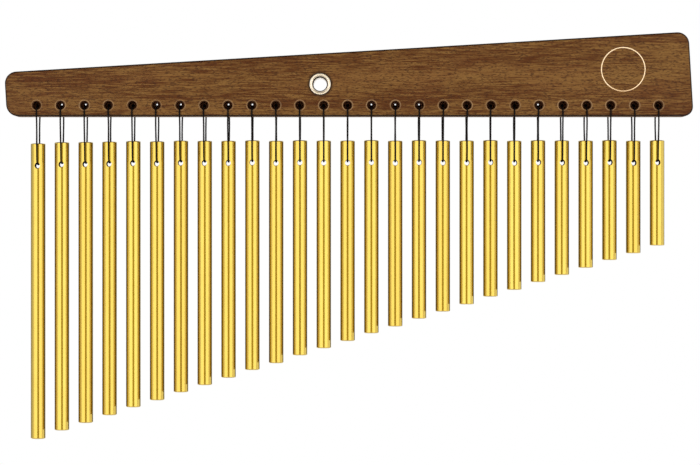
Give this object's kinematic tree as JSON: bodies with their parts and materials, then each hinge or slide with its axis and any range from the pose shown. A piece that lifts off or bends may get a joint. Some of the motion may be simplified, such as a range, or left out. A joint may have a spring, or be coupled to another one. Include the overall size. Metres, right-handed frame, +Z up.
{
  "type": "bar chimes",
  "caption": "Tapered hardwood bar with a metal hanging grommet and a falling row of gold rods on black cord loops, which swing and ring in turn when a hand is swept along them.",
  "frame": {"origin": "centre of the grommet's bore, midway through the bar", "axes": "+X along the bar to its tall end with the short rods, -Y out of the front face, +Z up"},
  "size_m": [0.4691, 0.0205, 0.2776],
  "materials": {
    "stained_hardwood": "satin oil",
    "gold_anodised_aluminium": "satin anodised",
    "black_nylon_cord": "twisted filament",
    "nickel_plated_steel": "polished plating"
  },
  "bodies": {
    "bar": {"header_bar": "stained_hardwood", "grommet_eyelet": "nickel_plated_steel", "grommet_washer": "nickel_plated_steel"},
    "loop_01": {"cord_loop_01": "black_nylon_cord"},
    "chime_01": {"chime_rod_01": "gold_anodised_aluminium"},
    "loop_02": {"cord_loop_02": "black_nylon_cord"},
    "chime_02": {"chime_rod_02": "gold_anodised_aluminium"},
    "loop_03": {"cord_loop_03": "black_nylon_cord"},
    "chime_03": {"chime_rod_03": "gold_anodised_aluminium"},
    "loop_04": {"cord_loop_04": "black_nylon_cord"},
    "chime_04": {"chime_rod_04": "gold_anodised_aluminium"},
    "loop_05": {"cord_loop_05": "black_nylon_cord"},
    "chime_05": {"chime_rod_05": "gold_anodised_aluminium"},
    "loop_06": {"cord_loop_06": "black_nylon_cord"},
    "chime_06": {"chime_rod_06": "gold_anodised_aluminium"},
    "loop_07": {"cord_loop_07": "black_nylon_cord"},
    "chime_07": {"chime_rod_07": "gold_anodised_aluminium"},
    "loop_08": {"cord_loop_08": "black_nylon_cord"},
    "chime_08": {"chime_rod_08": "gold_anodised_aluminium"},
    "loop_09": {"cord_loop_09": "black_nylon_cord"},
    "chime_09": {"chime_rod_09": "gold_anodised_aluminium"},
    "loop_10": {"cord_loop_10": "black_nylon_cord"},
    "chime_10": {"chime_rod_10": "gold_anodised_aluminium"},
    "loop_11": {"cord_loop_11": "black_nylon_cord"},
    "chime_11": {"chime_rod_11": "gold_anodised_aluminium"},
    "loop_12": {"cord_loop_12": "black_nylon_cord"},
    "chime_12": {"chime_rod_12": "gold_anodised_aluminium"},
    "loop_13": {"cord_loop_13": "black_nylon_cord"},
    "chime_13": {"chime_rod_13": "gold_anodised_aluminium"},
    "loop_14": {"cord_loop_14": "black_nylon_cord"},
    "chime_14": {"chime_rod_14": "gold_anodised_aluminium"},
    "loop_15": {"cord_loop_15": "black_nylon_cord"},
    "chime_15": {"chime_rod_15": "gold_anodised_aluminium"},
    "loop_16": {"cord_loop_16": "black_nylon_cord"},
    "chime_16": {"chime_rod_16": "gold_anodised_aluminium"},
    "loop_17": {"cord_loop_17": "black_nylon_cord"},
    "chime_17": {"chime_rod_17": "gold_anodised_aluminium"},
    "loop_18": {"cord_loop_18": "black_nylon_cord"},
    "chime_18": {"chime_rod_18": "gold_anodised_aluminium"},
    "loop_19": {"cord_loop_19": "black_nylon_cord"},
    "chime_19": {"chime_rod_19": "gold_anodised_aluminium"},
    "loop_20": {"cord_loop_20": "black_nylon_cord"},
    "chime_20": {"chime_rod_20": "gold_anodised_aluminium"},
    "loop_21": {"cord_loop_21": "black_nylon_cord"},
    "chime_21": {"chime_rod_21": "gold_anodised_aluminium"},
    "loop_22": {"cord_loop_22": "black_nylon_cord"},
    "chime_22": {"chime_rod_22": "gold_anodised_aluminium"},
    "loop_23": {"cord_loop_23": "black_nylon_cord"},
    "chime_23": {"chime_rod_23": "gold_anodised_aluminium"},
    "loop_24": {"cord_loop_24": "black_nylon_cord"},
    "chime_24": {"chime_rod_24": "gold_anodised_aluminium"},
    "loop_25": {"cord_loop_25": "black_nylon_cord"},
    "chime_25": {"chime_rod_25": "gold_anodised_aluminium"},
    "loop_26": {"cord_loop_26": "black_nylon_cord"},
    "chime_26": {"chime_rod_26": "gold_anodised_aluminium"},
    "loop_27": {"cord_loop_27": "black_nylon_cord"},
    "chime_27": {"chime_rod_27": "gold_anodised_aluminium"}
  },
  "joints": [
    {"name": "chime_01_side_swing", "type": "hinge", "parent": "bar", "child": "loop_01", "pos_m": [-0.1932, 0, -0.01655], "axis": [0, 1, 0], "range_deg": [-1.53, 15]},
    {"name": "chime_01_fore_swing", "type": "hinge", "parent": "loop_01", "child": "chime_01", "pos_m": [-0.1932, 0, -0.0218], "axis": [1, 0, 0], "range_deg": [-45, 45], "deforming": ["cord_loop_01"]},
    {"name": "chime_02_side_swing", "type": "hinge", "parent": "bar", "child": "loop_02", "pos_m": [-0.1769, 0, -0.01655], "axis": [0, 1, 0], "range_deg": [-1.57, 1.53]},
    {"name": "chime_02_fore_swing", "type": "hinge", "parent": "loop_02", "child": "chime_02", "pos_m": [-0.1769, 0, -0.0218], "axis": [1, 0, 0], "range_deg": [-45, 45], "deforming": ["cord_loop_02"]},
    {"name": "chime_03_side_swing", "type": "hinge", "parent": "bar", "child": "loop_03", "pos_m": [-0.1606, 0, -0.01655], "axis": [0, 1, 0], "range_deg": [-1.61, 1.57]},
    {"name": "chime_03_fore_swing", "type": "hinge", "parent": "loop_03", "child": "chime_03", "pos_m": [-0.1606, 0, -0.0218], "axis": [1, 0, 0], "range_deg": [-45, 45], "deforming": ["cord_loop_03"]},
    {"name": "chime_04_side_swing", "type": "hinge", "parent": "bar", "child": "loop_04", "pos_m": [-0.1443, 0, -0.01655], "axis": [0, 1, 0], "range_deg": [-1.65, 1.61]},
    {"name": "chime_04_fore_swing", "type": "hinge", "parent": "loop_04", "child": "chime_04", "pos_m": [-0.1443, 0, -0.0218], "axis": [1, 0, 0], "range_deg": [-45, 45], "deforming": ["cord_loop_04"]},
    {"name": "chime_05_side_swing", "type": "hinge", "parent": "bar", "child": "loop_05", "pos_m": [-0.128, 0, -0.01655], "axis": [0, 1, 0], "range_deg": [-1.69, 1.65]},
    {"name": "chime_05_fore_swing", "type": "hinge", "parent": "loop_05", "child": "chime_05", "pos_m": [-0.128, 0, -0.0218], "axis": [1, 0, 0], "range_deg": [-45, 45], "deforming": ["cord_loop_05"]},
    {"name": "chime_06_side_swing", "type": "hinge", "parent": "bar", "child": "loop_06", "pos_m": [-0.1117, 0, -0.01655], "axis": [0, 1, 0], "range_deg": [-1.74, 1.69]},
    {"name": "chime_06_fore_swing", "type": "hinge", "parent": "loop_06", "child": "chime_06", "pos_m": [-0.1117, 0, -0.0218], "axis": [1, 0, 0], "range_deg": [-45, 45], "deforming": ["cord_loop_06"]},
    {"name": "chime_07_side_swing", "type": "hinge", "parent": "bar", "child": "loop_07", "pos_m": [-0.0954, 0, -0.01655], "axis": [0, 1, 0], "range_deg": [-1.79, 1.74]},
    {"name": "chime_07_fore_swing", "type": "hinge", "parent": "loop_07", "child": "chime_07", "pos_m": [-0.0954, 0, -0.0218], "axis": [1, 0, 0], "range_deg": [-45, 45], "deforming": ["cord_loop_07"]},
    {"name": "chime_08_side_swing", "type": "hinge", "parent": "bar", "child": "loop_08", "pos_m": [-0.0791, 0, -0.01655], "axis": [0, 1, 0], "range_deg": [-1.83, 1.79]},
    {"name": "chime_08_fore_swing", "type": "hinge", "parent": "loop_08", "child": "chime_08", "pos_m": [-0.0791, 0, -0.0218], "axis": [1, 0, 0], "range_deg": [-45, 45], "deforming": ["cord_loop_08"]},
    {"name": "chime_09_side_swing", "type": "hinge", "parent": "bar", "child": "loop_09", "pos_m": [-0.0628, 0, -0.01655], "axis": [0, 1, 0], "range_deg": [-1.89, 1.83]},
    {"name": "chime_09_fore_swing", "type": "hinge", "parent": "loop_09", "child": "chime_09", "pos_m": [-0.0628, 0, -0.0218], "axis": [1, 0, 0], "range_deg": [-45, 45], "deforming": ["cord_loop_09"]},
    {"name": "chime_10_side_swing", "type": "hinge", "parent": "bar", "child": "loop_10", "pos_m": [-0.0465, 0, -0.01655], "axis": [0, 1, 0], "range_deg": [-1.94, 1.89]},
    {"name": "chime_10_fore_swing", "type": "hinge", "parent": "loop_10", "child": "chime_10", "pos_m": [-0.0465, 0, -0.0218], "axis": [1, 0, 0], "range_deg": [-45, 45], "deforming": ["cord_loop_10"]},
    {"name": "chime_11_side_swing", "type": "hinge", "parent": "bar", "child": "loop_11", "pos_m": [-0.0302, 0, -0.01655], "axis": [0, 1, 0], "range_deg": [-2, 1.94]},
    {"name": "chime_11_fore_swing", "type": "hinge", "parent": "loop_11", "child": "chime_11", "pos_m": [-0.0302, 0, -0.0218], "axis": [1, 0, 0], "range_deg": [-45, 45], "deforming": ["cord_loop_11"]},
    {"name": "chime_12_side_swing", "type": "hinge", "parent": "bar", "child": "loop_12", "pos_m": [-0.0139, 0, -0.01655], "axis": [0, 1, 0], "range_deg": [-2.06, 2]},
    {"name": "chime_12_fore_swing", "type": "hinge", "parent": "loop_12", "child": "chime_12", "pos_m": [-0.0139, 0, -0.0218], "axis": [1, 0, 0], "range_deg": [-45, 45], "deforming": ["cord_loop_12"]},
    {"name": "chime_13_side_swing", "type": "hinge", "parent": "bar", "child": "loop_13", "pos_m": [0.0024, 0, -0.01655], "axis": [0, 1, 0], "range_deg": [-2.13, 2.06]},
    {"name": "chime_13_fore_swing", "type": "hinge", "parent": "loop_13", "child": "chime_13", "pos_m": [0.0024, 0, -0.0218], "axis": [1, 0, 0], "range_deg": [-45, 45], "deforming": ["cord_loop_13"]},
    {"name": "chime_14_side_swing", "type": "hinge", "parent": "bar", "child": "loop_14", "pos_m": [0.0187, 0, -0.01655], "axis": [0, 1, 0], "range_deg": [-2.2, 2.13]},
    {"name": "chime_14_fore_swing", "type": "hinge", "parent": "loop_14", "child": "chime_14", "pos_m": [0.0187, 0, -0.0218], "axis": [1, 0, 0], "range_deg": [-45, 45], "deforming": ["cord_loop_14"]},
    {"name": "chime_15_side_swing", "type": "hinge", "parent": "bar", "child": "loop_15", "pos_m": [0.035, 0, -0.01655], "axis": [0, 1, 0], "range_deg": [-2.27, 2.2]},
    {"name": "chime_15_fore_swing", "type": "hinge", "parent": "loop_15", "child": "chime_15", "pos_m": [0.035, 0, -0.0218], "axis": [1, 0, 0], "range_deg": [-45, 45], "deforming": ["cord_loop_15"]},
    {"name": "chime_16_side_swing", "type": "hinge", "parent": "bar", "child": "loop_16", "pos_m": [0.0513, 0, -0.01655], "axis": [0, 1, 0], "range_deg": [-2.35, 2.27]},
    {"name": "chime_16_fore_swing", "type": "hinge", "parent": "loop_16", "child": "chime_16", "pos_m": [0.0513, 0, -0.0218], "axis": [1, 0, 0], "range_deg": [-45, 45], "deforming": ["cord_loop_16"]},
    {"name": "chime_17_side_swing", "type": "hinge", "parent": "bar", "child": "loop_17", "pos_m": [0.0676, 0, -0.01655], "axis": [0, 1, 0], "range_deg": [-2.44, 2.35]},
    {"name": "chime_17_fore_swing", "type": "hinge", "parent": "loop_17", "child": "chime_17", "pos_m": [0.0676, 0, -0.0218], "axis": [1, 0, 0], "range_deg": [-45, 45], "deforming": ["cord_loop_17"]},
    {"name": "chime_18_side_swing", "type": "hinge", "parent": "bar", "child": "loop_18", "pos_m": [0.0839, 0, -0.01655], "axis": [0, 1, 0], "range_deg": [-2.52, 2.44]},
    {"name": "chime_18_fore_swing", "type": "hinge", "parent": "loop_18", "child": "chime_18", "pos_m": [0.0839, 0, -0.0218], "axis": [1, 0, 0], "range_deg": [-45, 45], "deforming": ["cord_loop_18"]},
    {"name": "chime_19_side_swing", "type": "hinge", "parent": "bar", "child": "loop_19", "pos_m": [0.1002, 0, -0.01655], "axis": [0, 1, 0], "range_deg": [-2.63, 2.52]},
    {"name": "chime_19_fore_swing", "type": "hinge", "parent": "loop_19", "child": "chime_19", "pos_m": [0.1002, 0, -0.0218], "axis": [1, 0, 0], "range_deg": [-45, 45], "deforming": ["cord_loop_19"]},
    {"name": "chime_20_side_swing", "type": "hinge", "parent": "bar", "child": "loop_20", "pos_m": [0.1165, 0, -0.01655], "axis": [0, 1, 0], "range_deg": [-2.73, 2.63]},
    {"name": "chime_20_fore_swing", "type": "hinge", "parent": "loop_20", "child": "chime_20", "pos_m": [0.1165, 0, -0.0218], "axis": [1, 0, 0], "range_deg": [-45, 45], "deforming": ["cord_loop_20"]},
    {"name": "chime_21_side_swing", "type": "hinge", "parent": "bar", "child": "loop_21", "pos_m": [0.1328, 0, -0.01655], "axis": [0, 1, 0], "range_deg": [-2.85, 2.73]},
    {"name": "chime_21_fore_swing", "type": "hinge", "parent": "loop_21", "child": "chime_21", "pos_m": [0.1328, 0, -0.0218], "axis": [1, 0, 0], "range_deg": [-45, 45], "deforming": ["cord_loop_21"]},
    {"name": "chime_22_side_swing", "type": "hinge", "parent": "bar", "child": "loop_22", "pos_m": [0.1491, 0, -0.01655], "axis": [0, 1, 0], "range_deg": [-2.97, 2.85]},
    {"name": "chime_22_fore_swing", "type": "hinge", "parent": "loop_22", "child": "chime_22", "pos_m": [0.1491, 0, -0.0218], "axis": [1, 0, 0], "range_deg": [-45, 45], "deforming": ["cord_loop_22"]},
    {"name": "chime_23_side_swing", "type": "hinge", "parent": "bar", "child": "loop_23", "pos_m": [0.1654, 0, -0.01655], "axis": [0, 1, 0], "range_deg": [-3.11, 2.97]},
    {"name": "chime_23_fore_swing", "type": "hinge", "parent": "loop_23", "child": "chime_23", "pos_m": [0.1654, 0, -0.0218], "axis": [1, 0, 0], "range_deg": [-45, 45], "deforming": ["cord_loop_23"]},
    {"name": "chime_24_side_swing", "type": "hinge", "parent": "bar", "child": "loop_24", "pos_m": [0.1817, 0, -0.01655], "axis": [0, 1, 0], "range_deg": [-3.27, 3.11]},
    {"name": "chime_24_fore_swing", "type": "hinge", "parent": "loop_24", "child": "chime_24", "pos_m": [0.1817, 0, -0.0218], "axis": [1, 0, 0], "range_deg": [-45, 45], "deforming": ["cord_loop_24"]},
    {"name": "chime_25_side_swing", "type": "hinge", "parent": "bar", "child": "loop_25", "pos_m": [0.198, 0, -0.01655], "axis": [0, 1, 0], "range_deg": [-3.42, 3.27]},
    {"name": "chime_25_fore_swing", "type": "hinge", "parent": "loop_25", "child": "chime_25", "pos_m": [0.198, 0, -0.0218], "axis": [1, 0, 0], "range_deg": [-45, 45], "deforming": ["cord_loop_25"]},
    {"name": "chime_26_side_swing", "type": "hinge", "parent": "bar", "child": "loop_26", "pos_m": [0.2143, 0, -0.01655], "axis": [0, 1, 0], "range_deg": [-3.62, 3.42]},
    {"name": "chime_26_fore_swing", "type": "hinge", "parent": "loop_26", "child": "chime_26", "pos_m": [0.2143, 0, -0.0218], "axis": [1, 0, 0], "range_deg": [-45, 45], "deforming": ["cord_loop_26"]},
    {"name": "chime_27_side_swing", "type": "hinge", "parent": "bar", "child": "loop_27", "pos_m": [0.2306, 0, -0.01655], "axis": [0, 1, 0], "range_deg": [-15, 3.62]},
    {"name": "chime_27_fore_swing", "type": "hinge", "parent": "loop_27", "child": "chime_27", "pos_m": [0.2306, 0, -0.0218], "axis": [1, 0, 0], "range_deg": [-45, 45], "deforming": ["cord_loop_27"]}
  ]
}
